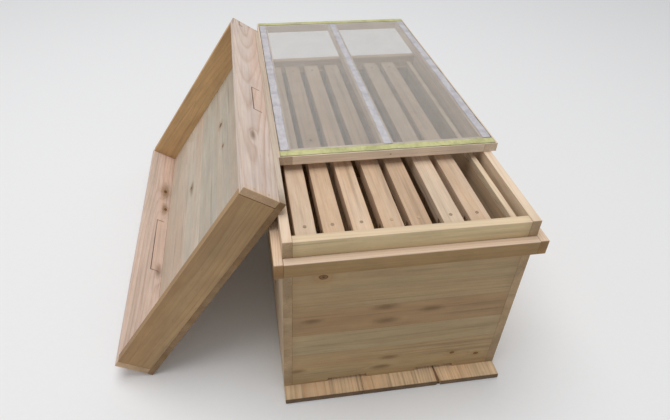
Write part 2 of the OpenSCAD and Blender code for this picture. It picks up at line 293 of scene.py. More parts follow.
def edges_and_ends(s, g, color, ring_mix, warm, end, end_share):
    """Rubbed arrises, soiled ends, a painted highlight along the upper edge and end grain, each within reach
    of a side.
    """
    from_x, from_y, from_z = [s.math("SUBTRACT", half, s.math("ABSOLUTE", place))
                              for half, place in zip(g.half, (g.x, g.y, g.z))]
    end_face = s.stretch(from_x, 1.0 * MM, 0.5 * MM)
    arris = s.math("MAXIMUM", s.math("MINIMUM", from_x, from_y),
                   s.math("MINIMUM", s.math("MAXIMUM", from_x, from_y), from_z))
    arris = s.math("MULTIPLY_ADD", g.edge, -1.6 * MM, arris)
    soiled = s.stretch(s.math("MULTIPLY_ADD", g.blotch, -14 * MM, from_x), 7 * MM, -6 * MM)
    color = s.mix(s.product(s.stretch(arris, 1.6 * MM, -0.6 * MM), g.rub), color, end)
    color = s.mix(s.product(soiled, g.soil), color, end)
    # Painted highlight: a pale band along the board's upper edge, standing in for light from above
    upper = s.stretch(s.math("SUBTRACT", g.y, g.half[1]), -1.4 * MM, -0.7 * MM)
    color = s.mix(s.product(upper, g.sapwood), color, s.mix(ring_mix, PAINTED_HIGHLIGHT, warm))
    pores = s.grained(g.place, 60, 1500, detail=1.0)
    level = s.product(s.stretch(pores, 0.3, 0.7, 0.78, 1.04, smooth=False),
                      s.stretch(g.blotch, 0.36, 0.62, 1.1, 0.8, smooth=False))
    end_color = s.mix(1.0, s.mix(end_share, color, end), s.join(level, level, level), "MULTIPLY")
    return s.mix(end_face, color, end_color), end_face


def wood(name, pale, late, warm, cool, end, ring_step=5.5 * MM, contrast=0.5, streaks=0.28, lanes=0.05,
         mottle=0.075, end_share=0.55):
    """Pine. Every board carries its own place, size, pith, tone and knots as vertex attributes."""
    pale, late, warm, cool, end = [rgb(*color) for color in (pale, late, warm, cool, end)]
    s = Shader(name)
    g = Grain(s)
    radius, core, ring, halo, smudge = knots(s, g, pith_distance(s, g))
    late_wood = year_rings(s, radius, ring_step)
    ring_mix = s.product(late_wood, s.stretch(g.patch, 0.25, 0.75, 0.35 * contrast, contrast, smooth=False))
    color = fibres(s, g, clear_wood(s, g, ring_mix, pale, late, warm, cool), streaks, lanes, mottle)
    color = s.mix(s.product(smudge, 0.68), color, SMUDGE)
    color = s.mix(s.product(halo, 0.4), color, KNOT_HALO)
    color = s.mix(s.product(core, 0.8), color, KNOT_CORE)
    color = s.mix(s.product(ring, 0.85), color, KNOT_DARK)
    crack = checks(s, g)
    color = s.mix(s.product(crack, 0.75), color, CHECK_DARK)
    outline, inlay_face = repair_strip(s, g)
    color = s.mix(s.product(inlay_face, 0.22), color, warm)
    color = s.mix(s.product(outline, 0.78), color, OUTLINE_DARK)
    color, end_face = edges_and_ends(s, g, color, ring_mix, warm, end, end_share)

    height = s.math("MULTIPLY_ADD", g.fibre, 0.5, s.product(late_wood, 0.35))
    saw_marks = s.grained(g.place, 420, 9, detail=1.0)
    for bump, depth in ((saw_marks, 0.3), (crack, -2.5), (outline, -2.0), (ring, -0.8)):
        height = s.math("MULTIPLY_ADD", bump, depth, height)
    rough = s.stretch(g.fibre, 0.2, 0.8, 0.58, 0.74, smooth=False)
    rough = s.math("MULTIPLY_ADD", late_wood, -0.08, rough)
    rough = s.math("MULTIPLY_ADD", end_face, 0.16, rough)
    return s.finish(color, rough, height, 0.35 * MM, Specular_IOR_Level=0.32)


def steel(name, bright, shade, metallic):
    """Wire nails, dulled by handling; the small brads are set and dusted with wood filler."""
    s = Shader(name)
    place = s.node("ShaderNodeTexCoord").outputs["Object"]
    dull = s.noise(place, scale=900, detail=3.0)
    rust = s.stretch(s.noise(place, scale=260, detail=2.0), 0.56, 0.72)
    color = s.mix(dull, bright, shade)
    color = s.mix(s.math("MULTIPLY", rust, 0.5), color, rgb(120, 84, 56))
    rough = s.stretch(dull, 0.2, 0.8, 0.45, 0.7)
    return s.finish(color, rough, dull, 0.1 * MM, Metallic=metallic)


def wire(name, clean, dusty):
    """Screen wire with a little dust."""
    s = Shader(name)
    place = s.node("ShaderNodeTexCoord").outputs["Object"]
    dust = s.noise(place, scale=34, detail=4.0)
    bright = s.noise(place, scale=700, detail=1.0)
    color = s.mix(dust, clean, dusty)
    rough = s.stretch(bright, 0.2, 0.8, 0.45, 0.65)
    return s.finish(color, rough, bright, 0.05 * MM, Metallic=0.15)


def tape(name, base, shade, weave):
    """Woven binding tape with creases darkened by painted shade, a light sheen and some dirt."""
    s = Shader(name)
    place = s.node("ShaderNodeTexCoord").outputs["Object"]
    x, y, z = s.split(place)
    thread_a = s.math("SINE", s.math("MULTIPLY", x, weave))
    thread_b = s.math("SINE", s.math("MULTIPLY", y, weave))
    cloth = s.math("MULTIPLY", thread_a, thread_b)
    dirt = s.noise(place, scale=55, detail=5.0, roughness=0.65)
    crease = s.noise(s.vector("MULTIPLY", place, (90, 38, 1)), detail=3.0)
    crease = s.math("ABSOLUTE", s.math("SUBTRACT", crease, 0.5))
    fold = s.stretch(crease, 0.05, 0.0)
    color = s.mix(s.stretch(dirt, 0.4, 0.7), base, shade)
    # Painted shade: the creases are darkened towards the shade colour
    color = s.mix(s.math("MULTIPLY", fold, 0.3), color, shade)
    height = s.math("MULTIPLY_ADD", fold, -1.0, s.math("MULTIPLY", cloth, 0.15))
    rough = s.stretch(dirt, 0.3, 0.7, 0.32, 0.55)
    return s.finish(color, rough, height, 0.4 * MM, Specular_IOR_Level=0.5)


END_GRAIN = (172, 136, 96)
PINES = {
    # The wall pine is darker than the side walls' pine, which paints part of the shade on the front wall's
    # face; the rear wall shares it
    "pine_wall": dict(
        pale=(198, 171, 128), late=(164, 128, 84), warm=(182, 144, 102),
        cool=(180, 168, 134), end=(150, 122, 86), contrast=0.46, lanes=0.08),
    "pine_side": dict(
        pale=(226, 204, 176), late=(188, 154, 118), warm=(210, 178, 142),
        cool=(206, 192, 166), end=(164, 134, 96), end_share=0.65),
    "pine_batten": dict(
        pale=(208, 176, 127), late=(168, 125, 74), warm=(190, 148, 92),
        cool=(190, 168, 126), end=(158, 120, 80), ring_step=4 * MM, mottle=0.11, end_share=0.6),
    # The floor boards' very dark end colour is partly their end grain and partly painted shade on the
    # landing's front edge
    "pine_floor": dict(
        pale=(238, 208, 170), late=(190, 142, 98), warm=(226, 182, 134),
        cool=(214, 194, 160), end=(86, 66, 46),
        ring_step=4 * MM, contrast=0.85, streaks=0.5, lanes=0.13, end_share=0.85),
    "pine_top_bar": dict(
        pale=(228, 204, 178), late=(192, 154, 120), warm=(214, 176, 140),
        cool=(208, 188, 162), end=END_GRAIN, ring_step=3.6 * MM, contrast=0.45, lanes=0.06),
    "pine_frame": dict(
        pale=(212, 186, 154), late=(176, 138, 102), warm=(200, 162, 122),
        cool=(194, 176, 146), end=END_GRAIN, ring_step=3.6 * MM),
    "pine_divider": dict(
        pale=(224, 204, 176), late=(188, 154, 118), warm=(212, 180, 144),
        cool=(204, 190, 162), end=END_GRAIN),
    "pine_cover": dict(
        pale=(238, 220, 200), late=(206, 172, 142), warm=(228, 198, 170),
        cool=(218, 204, 182), end=(222, 198, 170), ring_step=3.6 * MM, end_share=0.4),
    "pine_roof_panel": dict(
        pale=(214, 200, 182), late=(188, 162, 136), warm=(212, 180, 156),
        cool=(188, 187, 172), end=(142, 110, 72), ring_step=6.5 * MM, contrast=0.4, end_share=0.85),
    "pine_roof_long": dict(
        pale=(226, 207, 195), late=(188, 151, 127), warm=(218, 182, 158),
        cool=(210, 196, 180), end=(204, 168, 124), contrast=0.68, end_share=0.7),
    "pine_roof_short": dict(
        pale=(198, 168, 126), late=(150, 112, 72), warm=(186, 142, 94),
        cool=(166, 150, 112), end=END_GRAIN, ring_step=5 * MM, streaks=0.36, lanes=0.08, mottle=0.13),
}
MATERIALS = {name: wood(name, **look) for name, look in PINES.items()}
STEEL = steel("nail_steel", rgb(176, 156, 132), rgb(134, 112, 88), 0.12)
BRAD = steel("brad_filled", rgb(206, 180, 146), rgb(176, 146, 112), 0.05)
WIRE = wire("wire_mesh", rgb(212, 209, 204), rgb(188, 185, 180))
WIRE_FOLD = wire("wire_fold", rgb(120, 122, 112), rgb(78, 80, 72))
TAPE_WHITE = tape("tape_white", rgb(200, 196, 199), rgb(176, 172, 177), 3200)
TAPE_GREEN = tape("tape_green", rgb(202, 200, 142), rgb(172, 170, 116), 3200)


# ---------------------------------------------------------------- boards

# How far the worn surface of a board may lie inside its nominal box, and how far its chips may go
WEAR_DEPTH = 0.35 * MM
CHIP_DEPTH = 1.1 * MM
# Share of the wear on faces that meet a neighbour without a gap
SNUG_WEAR = 0.15
# Boards whose bevel is no larger than this have no chips
CHIPPED_BEVEL = 0.5 * MM
# Distance between the cuts across a board, which let its surface wave
STATION = 16 * MM
VECTORS = ("local", "half", "seed", "pith", "tone", "use", "inlay") + KNOT_KEYS
OUT_OF_SIGHT = Vector((9, 9, MM))
AXES = range(3)


def corner_box(points):
    """The lowest and the highest corner of some points."""
    low = Vector([min(point[axis] for point in points) for axis in AXES])
    high = Vector([max(point[axis] for point in points) for axis in AXES])
    return low, high


def new_object(name, mesh, material, smooth=False):
    """Turn a bmesh into an object in the scene."""
    data = bpy.data.meshes.new(name)
    mesh.to_mesh(data)
    mesh.free()
    data.materials.append(material)
    for face in data.polygons:
        face.use_smooth = smooth
    made = bpy.data.objects.new(name, data)
    bpy.context.scene.collection.objects.link(made)
    return made


def outline_solid(outline, normal, low, high):
    """A solid from low to high along the axis called normal, with its outline in the other two axes."""
    part = bmesh.new()
    first, second = [axis for axis in AXES if axis != normal]
    rings = []
    for level in (low, high):
        ring = []
        for point in outline:
            place = Vector((0, 0, 0))
            place[normal] = level
            place[first] = point[0]
            place[second] = point[1]
            ring.append(part.verts.new(place))
        rings.append(ring)
    part.faces.new(rings[0])
    part.faces.new(rings[1])
    count = len(outline)
    for i in range(count):
        j = (i + 1) % count
        part.faces.new((rings[0][i], rings[0][j], rings[1][j], rings[1][i]))
    bmesh.ops.recalc_face_normals(part, faces=part.faces)
    return part


def round_and_divide(part, bevel, along, low, middle, half):
    """Round the sharp edges and cut the board across at even stations along its grain."""
    sharp = [edge for edge in part.edges if edge.calc_face_angle_signed(0) > 0.1]
    bmesh.ops.bevel(part, geom=sharp, offset=bevel, offset_type="OFFSET", segments=2, profile=0.5,
                    affect="EDGES", clamp_overlap=True)
    stations = max(2, int(2 * half[along] / STATION))
    across = Vector((0, 0, 0))
    across[along] = 1
    for i in range(1, stations):
        place = middle.copy()
        place[along] = low[along] + 2 * half[along] * i / stations
        bmesh.ops.bisect_plane(part, geom=part.verts[:] + part.edges[:] + part.faces[:],
                               plane_co=place, plane_no=across, dist=1e-6)


def worn(co, middle, half, shift, bevel, snug):
    """Where a point of a board lies once its faces are dented and its arrises chipped."""
    away = co - middle
    outer = [axis for axis in AXES if half[axis] - abs(away[axis]) < 1.2 * bevel + 0.2 * MM]
    chip = 0
    if len(outer) > 1 and bevel > CHIPPED_BEVEL:
        chip = max(0, noise.noise(co * 62 + shift) - 0.3)
    place = co.copy()
    for axis in outer:
        dent = max(0, 0.5 + 0.5 * noise.noise(co * 24 + shift + Vector((axis * 7, 0, 0))))
        depth = (dent * WEAR_DEPTH + chip * CHIP_DEPTH) * (SNUG_WEAR if axis in snug else 1)
        place[axis] -= math.copysign(min(depth, 0.4 * half[axis]), away[axis])
    return place


class Piece:
    """One visible piece, made of one or more boards. It stands for the CAD nodes that it names."""

    def __init__(self, name, body, slot, nodes, turn=FLAT):
        self.name = name
        self.body = body
        self.slot = slot
        self.nodes = nodes
        self.turn = turn
        self.mesh = bmesh.new()
        self.layers = [self.mesh.verts.layers.float_vector.new(key) for key in VECTORS]

    def prism(self, outline, normal, low, high, along, seed, tone, knots=(), bevel=0.7 * MM, pith=None,
              rub=0.22, soil=0.25, sapwood=0.0, inlay=None, snug=()):
        """A board with the given outline, drawn in the plane across the axis called normal.

        Outline points are in the two other axes, in their own order. along is the axis of the grain.
        tone is (brightness, warmth, cracks). Knots are (x, y, z, radius) with the place anywhere through the
        board's thickness; a negative radius is a soft smudge. inlay is (x, y, z, half length) of a repair
        strip. snug holds the axes along which the board meets its neighbours without a gap. sapwood is
        how strongly a painted highlight lightens its upper edge.
        """
        dice = random.Random(seed)
        part = outline_solid(outline, normal, low, high)
        floor, roof = corner_box([vertex.co for vertex in part.verts])
        middle = (floor + roof) / 2
        half = (roof - floor) / 2
        sides = sorted((axis for axis in AXES if axis != along), key=lambda axis: -half[axis])
        order = (along, sides[0], sides[1])
        round_and_divide(part, bevel, along, floor, middle, half)

        shift = Vector([dice.uniform(-40, 40) for axis in AXES])
        if pith is None:
            pith = (dice.uniform(-1.1, 1.1) * half[order[1]], dice.choice((-1, 1)) * dice.uniform(0.02, 0.07),
                    dice.uniform(-0.05, 0.05))

        def mark(spot):
            away = Vector(spot[:3]) - middle
            return Vector((away[order[0]], away[order[1]], spot[3]))

        spots = [mark(knot) for knot in knots][:len(KNOT_KEYS)]
        spots += [OUT_OF_SIGHT] * (len(KNOT_KEYS) - len(spots))
        lasting = [Vector([half[axis] for axis in order]), shift, Vector(pith), Vector(tone),
                   Vector((rub, soil, sapwood)), mark(inlay) if inlay else OUT_OF_SIGHT] + spots
        made = {}
        for vertex in part.verts:
            away = vertex.co - middle
            copy = self.mesh.verts.new(self.turn @ worn(vertex.co, middle, half, shift, bevel, snug))
            for layer, value in zip(self.layers, [Vector([away[axis] for axis in order])] + lasting):
                copy[layer] = value
            made[vertex] = copy
        for face in part.faces:
            if face.calc_area() > 1e-10:
                self.mesh.faces.new([made[vertex] for vertex in face.verts])
        part.free()

    def board(self, low, high, along, seed, tone, **details):
        """A plain rectangular board between two corners."""
        outline = [(low[0], low[1]), (high[0], low[1]), (high[0], high[1]), (low[0], high[1])]
        self.prism(outline, 2, low[2], high[2], along, seed, tone, **details)

    def finish(self):
        bmesh.ops.recalc_face_normals(self.mesh, faces=self.mesh.faces)
        piece = new_object(self.name, self.mesh, MATERIALS[self.slot], smooth=True)
        soften = piece.modifiers.new("even_normals", "WEIGHTED_NORMAL")
        soften.weight = 100
        soften.keep_sharp = True
        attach(piece, self.body)
        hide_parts(*self.nodes)


def turned_box(node, turn):
    """A CAD node's box in a turned frame."""
    back = turn.inverted()
    return corner_box([back @ vertex.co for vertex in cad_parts[node].data.vertices])


def planks(piece, low, high, across, cuts, along, seed, tones, knots=(), rub=0.03, last_sapwood=0.0):
    """Edge-glued boards side by side between two corners; cuts are places along the axis called across.

    last_sapwood is how strongly a painted highlight lightens the last board's upper edge.
    """
    edges = [low[across]] + list(cuts) + [high[across]]
    for i, (start, stop) in enumerate(zip(edges, edges[1:])):
        a = low.copy()
        b = high.copy()
        a[across] = start
        b[across] = stop
        mine = [knot for knot in knots if start <= knot[across] < stop]
        piece.board(a, b, along, seed + i, tones[i % len(tones)], knots=mine, bevel=0.1 * MM, rub=rub,
                    sapwood=last_sapwood if i == len(cuts) else 0.0, snug=(0, 2))


# ---------------------------------------------------------------- body box

FLOOR_TONES = {"floor_left": (1.04, 0.2, 0.2), "floor_middle": (1.1, 0.1, 0.0),
               "floor_right": (1.12, 0.2, 0.3)}
OPEN_JOINT = 5 * MM
OPEN_JOINT_RUN = 45 * MM
TONGUE_TOP = 5 * MM
TONGUE_REST = 2 * MM
TONGUE_INSET = 1.5 * MM
TONGUE_TONE = (0.42, 1.0, 0.0)


def floor_planks():
    """The right board has shrunk away from its neighbour at the front, which leaves an open joint there."""
    for index, (name, tone) in enumerate(FLOOR_TONES.items()):
        piece = Piece(name + "_plank", "hive", "pine_floor", [name])
        low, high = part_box(name)
        outline = [(low.x, low.y), (high.x, low.y), (high.x, high.y), (low.x, high.y)]
        if name == "floor_right":
            outline[0] = (low.x + OPEN_JOINT, low.y)
            outline.append((low.x, low.y + OPEN_JOINT_RUN))
            near = Vector((low.x, low.y + TONGUE_INSET, low.z))
            far = Vector((low.x + OPEN_JOINT + TONGUE_REST, low.y + OPEN_JOINT_RUN, low.z + TONGUE_TOP))
            piece.board(near, far, 1, 419, TONGUE_TONE)
        piece.prism(outline, 2, low.z, high.z, 1, 410 + index, tone, bevel=0.8 * MM, rub=0.3, soil=0.1)
        piece.finish()


# Edge joints of the front wall's boards, as shares of its height
FRONT_SEAMS = (0.24, 0.39, 0.56, 0.88)
# Brightness, warmth and cracks of the front wall's boards, from the bottom up. The four lower boards are
# darkened to paint the shade on the wall's front face, and the top board is brightened to paint the light
# that falls on the rim.
FRONT_TONES = ((0.84, 0.2, 0.1), (0.82, -0.2, 0.0), (0.75, 0.8, 0.0), (0.79, 0.2, 0.1),
               (1.42, -0.7, 0.0))
# Knots on the front wall's face: shares of its width and height, and the radius in millimetres
FRONT_KNOTS = ((0.13, 0.78, 4.6), (0.64, 0.495, -3.4), (0.42, 0.54, -3.8), (0.43, 0.44, -4.0),
               (0.09, 0.49, -2.8), (0.475, 0.145, -3.0), (0.44, 0.07, -3.0), (0.8, 0.12, 2.9),
               (0.93, 0.09, 2.8), (0.02, 0.11, -2.8))
REAR_SEAMS = (0.31, 0.49, 0.73)
REAR_TONES = ((0.98, 0.2, 0.0), (1.0, 0.5, 0.0), (0.96, 0.1, 0.2), (1.01, 0.4, 0.0))
# Places along X and Z, and the radius, in millimetres
REAR_KNOTS = ((60, 210, 6), (-90, 60, 4))
# Heights of the side walls' edge joints, and knots along Y and Z with their radius, in millimetres
SIDE_SEAMS = (98, 167, 236)
SIDE_TONES = ((1.0, 0.25, 0.1), (0.96, 0.05, 0.0), (1.02, 0.4, 0.15), (1.06, 0.1, 0.0))
SIDE_KNOTS = ((-120, 90, 5), (140, 200, 7))
# Brightness, warmth and cracks of the battens. The front batten is darkened to paint the shade on its front
# face.
BATTEN_TONES = {"front_batten": (0.64, 0.55, 0.1), "rear_batten": (0.9, 0.3, 0.0),
                "left_batten": (0.9, 0.4, 0.0), "right_batten": (0.9, 0.3, 0.2)}
SLOT_HALF = 30 * MM
SLOT_TOP = 16 * MM
SLOT_PLACES = (-69 * MM, 67 * MM)
REBATE_DEPTH = 10 * MM
REBATE_FLOOR = 284.5 * MM


def end_wall(name, inner, seams, tones, slots, knots, seed):
    """Edge-glued boards; the lowest may have entrance slots, the top one has the lug rebate.

    inner is the side of the wall that looks into the box: +1 for the front wall, -1 for the rear one.
    """
    piece = Piece(name + "_planks", "hive", "pine_wall", [name])
    low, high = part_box(name)
    edges = [low.z] + [low.z + (high.z - low.z) * share for share in seams] + [high.z]
    for i, tone in enumerate(tones):
        mine = [k for k in knots if edges[i] <= k[2] < edges[i + 1]]
        if i == 0 and slots:
            outline = [(low.x, edges[0])]
            for place in slots:
                outline += [(place - SLOT_HALF, edges[0]), (place - SLOT_HALF, SLOT_TOP),
                            (place + SLOT_HALF, SLOT_TOP), (place + SLOT_HALF, edges[0])]
            outline += [(high.x, edges[0]), (high.x, edges[1]), (low.x, edges[1])]
            piece.prism(outline, 1, low.y, high.y, 0, seed, tone, knots=mine, bevel=0.12 * MM, rub=0.05,
                        snug=(0, 2))
        elif i == len(tones) - 1:
            face_in, face_out = (high.y, low.y) if inner > 0 else (low.y, high.y)
            step = face_in - inner * REBATE_DEPTH
            outline = [(face_out, edges[i]), (face_in, edges[i]), (face_in, REBATE_FLOOR),
                       (step, REBATE_FLOOR), (step, edges[i + 1]), (face_out, edges[i + 1])]
            # The top board's upper edge gets a painted highlight
            piece.prism(outline, 0, low.x, high.x, 0, seed + i, tone, knots=mine, bevel=0.3 * MM, rub=0.08,
                        sapwood=0.4, snug=(0,))
        else:
            near = Vector((low.x, low.y, edges[i]))
            far = Vector((high.x, high.y, edges[i + 1]))
            piece.board(near, far, 0, seed + i, tone, knots=mine, bevel=0.1 * MM, rub=0.03, snug=(0, 2))
    piece.finish()


def end_walls():
    low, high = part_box("front_wall")
    knots = [(low.x + (high.x - low.x) * across, low.y, low.z + (high.z - low.z) * up, radius * MM)
             for across, up, radius in FRONT_KNOTS]
    # The front boards' tones paint shade on the wall's face and light on its top board
    end_wall("front_wall", 1, FRONT_SEAMS, FRONT_TONES, SLOT_PLACES, knots, 510)
    rear_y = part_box("rear_wall")[1].y
    rear_knots = [(x * MM, rear_y, z * MM, radius * MM) for x, z, radius in REAR_KNOTS]
    end_wall("rear_wall", -1, REAR_SEAMS, REAR_TONES, (), rear_knots, 530)


def side_walls():
    for index, side in enumerate(("left", "right")):
        piece = Piece(side + "_wall_planks", "hive", "pine_side", [side + "_wall"])
        low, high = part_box(side + "_wall")
        knots = [(low.x, y * MM, z * MM, radius * MM) for y, z, radius in SIDE_KNOTS]
        seams = [height * MM for height in SIDE_SEAMS]
        # The top boards' upper edges get a painted highlight
        planks(piece, low, high, 2, seams, 1, 550 + 10 * index, SIDE_TONES, knots, last_sapwood=0.4)
        piece.finish()


def battens():
    for index, (name, tone) in enumerate(BATTEN_TONES.items()):
        piece = Piece(name + "_strip", "hive", "pine_batten", [name])
        low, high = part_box(name)
        along = 0 if name in ("front_batten", "rear_batten") else 1
        bruise = (low.x, low.y + 2 * MM, low.z + 7 * MM, -6 * MM)
        # The battens' upper edges get a painted highlight
        piece.board(low, high, along, 580 + index, tone, bevel=0.5 * MM, rub=0.06, soil=0.1, sapwood=0.75,
                    knots=[bruise] if name == "left_batten" else (), snug=(0,))
        piece.finish()


# ---------------------------------------------------------------- frames and division board

FRAMES = 7
END_BAR_T = 10 * MM
# Brightness and warmth of each frame's top bar
BAR_TONES = ((0.92, 0.1), (0.88, 0.75), (0.98, 0.3), (0.89, 0.15), (0.82, 0.8), (0.96, 0.0), (0.91, 0.15))
KNOTTY_BARS = (1, 4)
BAR_KNOT = 2.2 * MM
DIVIDER_SEAMS = (130 * MM, 205 * MM)
DIVIDER_TONES = ((0.98, 0.3, 0.0), (1.0, 0.1, 0.0), (0.95, 0.4, 0.1))


def hive_frames():
    for i in range(FRAMES):
        name = f"frame{i + 1}"
        bright, warmth = BAR_TONES[i]
        low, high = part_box(name + "_top_bar")
        ends_low, ends_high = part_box(name + "_end_bars")
        lug = ends_high.z
        inner_y = ends_high.y - END_BAR_T
        bar = Piece(name + "_top_bar_wood", name, "pine_top_bar", [name + "_top_bar"])
        outline = [(low.y, lug), (-inner_y, lug), (-inner_y, low.z), (inner_y, low.z), (inner_y, lug),
                   (high.y, lug), (high.y, high.z), (low.y, high.z)]
        knot = ((low.x + high.x) / 2, (-60 + 35 * i) * MM, high.z, BAR_KNOT)
        bar.prism(outline, 0, low.x, high.x, 1, 610 + i, (bright, warmth, 0.15),
                  knots=[knot] if i in KNOTTY_BARS else ())
        bar.finish()
        ends = Piece(name + "_end_bars_wood", name, "pine_frame", [name + "_end_bars"])
        for side in (-1, 1):
            near, far = corner_box([Vector((ends_low.x, side * ends_high.y, ends_low.z)),
                                    Vector((ends_high.x, side * inner_y, ends_high.z))])
            ends.board(near, far, 2, 630 + 2 * i + (side > 0), (bright, warmth * 0.6, 0.0))
        ends.finish()
        rail = Piece(name + "_bottom_bar_wood", name, "pine_frame", [name + "_bottom_bar"])
        low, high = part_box(name + "_bottom_bar")
        rail.board(low, high, 1, 650 + i, (bright * 0.97, 0.3, 0.0))
        rail.finish()


def division_board():
    board = Piece("divider_board_wood", "divider", "pine_divider", ["divider_board"])
    low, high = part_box("divider_board")
    planks(board, low, high, 2, DIVIDER_SEAMS, 1, 670, DIVIDER_TONES)
    board.finish()
    strip = Piece("divider_top_strip_wood", "divider", "pine_divider", ["divider_top_strip"])
    low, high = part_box("divider_top_strip")
    strip.board(low, high, 1, 676, (1.05, 0.1, 0.0))
    strip.finish()


# ---------------------------------------------------------------- mesh cover

# Brightness and warmth of the rails
RAIL_TONES = {"left": (1.0, 0.2), "right": (1.0, 0.2), "middle": (0.98, 0.15), "front": (1.05, 0.0),
              "rear": (0.98, 0.2)}
WIRE_PITCH = 1.45 * MM
WIRE_HALF = 0.2 * MM
WIRE_THICK = 0.2 * MM
WIRE_SWAY = 0.12 * MM
WIRE_STEPS = 14
MESH_LIFT = 0.04 * MM
MESH_SAG = 0.9 * MM
FOLD_STEP = 6 * MM
FOLD_WIDTH = 1.1 * MM
FOLD_RISE = 0.12 * MM
FOLD_INSET = 0.15 * MM
TAPE_STEP = 2.2 * MM
TAPE_LANES = 9
TAPE_FILM = 0.12 * MM
TAPE_WAVE = 0.9 * MM
TAPE_LIFT = 0.5 * MM
TAPE_CREASE = 0.7 * MM
TAPE_EDGE = 0.6 * MM
WHITE_INSET = 0.8 * MM
GREEN_INSET = 1.7 * MM


def cover_rails():
    for index, (side, (bright, warmth)) in enumerate(RAIL_TONES.items()):
        name = f"cover_{side}_rail"
        piece = Piece(name + "_wood", "mesh_cover", "pine_cover", [name])
        low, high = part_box(name)
        along = 0 if side in ("front", "rear") else 1
        piece.board(low, high, along, 710 + index, (bright, warmth, 0.1), bevel=0.35 * MM, rub=0.08,
                    soil=0.08, snug=(0,))
        piece.finish()


def mesh_height(x, y, panes, top):
    """The screen sags a little inside each pane and is flat over the rails."""
    for x0, x1, y0, y1 in panes:
        if x0 < x < x1 and y0 < y < y1:
            u = math.sin(math.pi * (x - x0) / (x1 - x0))
            v = math.sin(math.pi * (y - y0) / (y1 - y0))
            return top - MESH_SAG * (u * v) ** 0.7
    return top


def wire_strip(mesh, points, across):
    """A flat-sided wire along the points: a ribbon with a ridge, three-sided in section."""
    side = across * WIRE_HALF
    ridge = Vector((0, 0, WIRE_THICK))
    rings = [[mesh.verts.new(point - side), mesh.verts.new(point + ridge), mesh.verts.new(point + side)]
             for point in points]
    for one, two in zip(rings, rings[1:]):
        for i in range(3):
            j = (i + 1) % 3
            mesh.faces.new((one[i], one[j], two[j], two[i]))


def cover_panes():
    """The two open fields between the rails, as (x0, x1, y0, y1)."""
    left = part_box("cover_left_rail")[1].x
    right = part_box("cover_right_rail")[0].x
    mid_low, mid_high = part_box("cover_middle_rail")
    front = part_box("cover_front_rail")[1].y
    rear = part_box("cover_rear_rail")[0].y
    return [(left, mid_low.x, front, rear), (mid_high.x, right, front, rear)]


def cover_screen():
    low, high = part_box("cover_mesh")
    panes = cover_panes()
    base = low.z + MESH_LIFT
    mesh = bmesh.new()
    across_count = int((high.y - low.y) / WIRE_PITCH)
    along_count = int((high.x - low.x) / WIRE_PITCH)
    steps = range(WIRE_STEPS + 1)
    xs = {edge for pane in panes for edge in pane[:2]}
    xs = sorted(xs | {low.x + (high.x - low.x) * i / WIRE_STEPS for i in steps})
    ys = {edge for pane in panes for edge in pane[2:]}
    ys = sorted(ys | {low.y + (high.y - low.y) * i / WIRE_STEPS for i in steps})
    for i in range(1, across_count):
        y = low.y + (high.y - low.y) * i / across_count
        y += WIRE_SWAY * noise.noise(Vector((i * 0.37, 3.1, 0)))
        wire_strip(mesh, [Vector((x, y, mesh_height(x, y, panes, base))) for x in xs], Vector((0, 1, 0)))
    for i in range(1, along_count):
        x = low.x + (high.x - low.x) * i / along_count
        x += WIRE_SWAY * noise.noise(Vector((i * 0.37, 9.7, 0)))
        points = [Vector((x, y, mesh_height(x, y, panes, base) + WIRE_THICK)) for y in ys]
        wire_strip(mesh, points, Vector((1, 0, 0)))
    piece = new_object("cover_screen", mesh, WIRE)
    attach(piece, "mesh_cover")
    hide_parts("cover_mesh")


def screen_fold():
    """The screen's edge, folded under along the cover's outline: a thin, uneven, darker strip."""
    low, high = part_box("cover_mesh")
    outline = [(low.x, low.y), (high.x, low.y), (high.x, high.y), (low.x, high.y)]
    mesh = bmesh.new()
    for begin, end in zip(outline, outline[1:] + outline[:1]):
        start = Vector((begin[0], begin[1], 0))
        run = Vector((end[0], end[1], 0)) - start
        inward = Vector((-run.y, run.x, 0)).normalized()
        count = int(run.length / FOLD_STEP)
        rings = []
        for i in range(count + 1):
            place = start + run * i / count
            wave = 0.5 + 0.5 * noise.noise(place * 60)
            outer = place + inward * FOLD_INSET
            inner = place + inward * (FOLD_WIDTH * (0.7 + 0.6 * wave))
            bottom = Vector((0, 0, low.z))
            top = Vector((0, 0, high.z + FOLD_RISE * wave))
            rings.append([mesh.verts.new(corner) for corner in
                          (outer + bottom, outer + top, inner + top, inner + bottom)])
        for one, two in zip(rings, rings[1:]):
            for a in range(4):
                b = (a + 1) % 4
                mesh.faces.new((one[a], one[b], two[b], two[a]))
        mesh.faces.new(rings[0])
        mesh.faces.new(reversed(rings[-1]))
    bmesh.ops.recalc_face_normals(mesh, faces=mesh.faces)
    piece = new_object("cover_screen_fold", mesh, WIRE_FOLD)
    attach(piece, "mesh_cover")


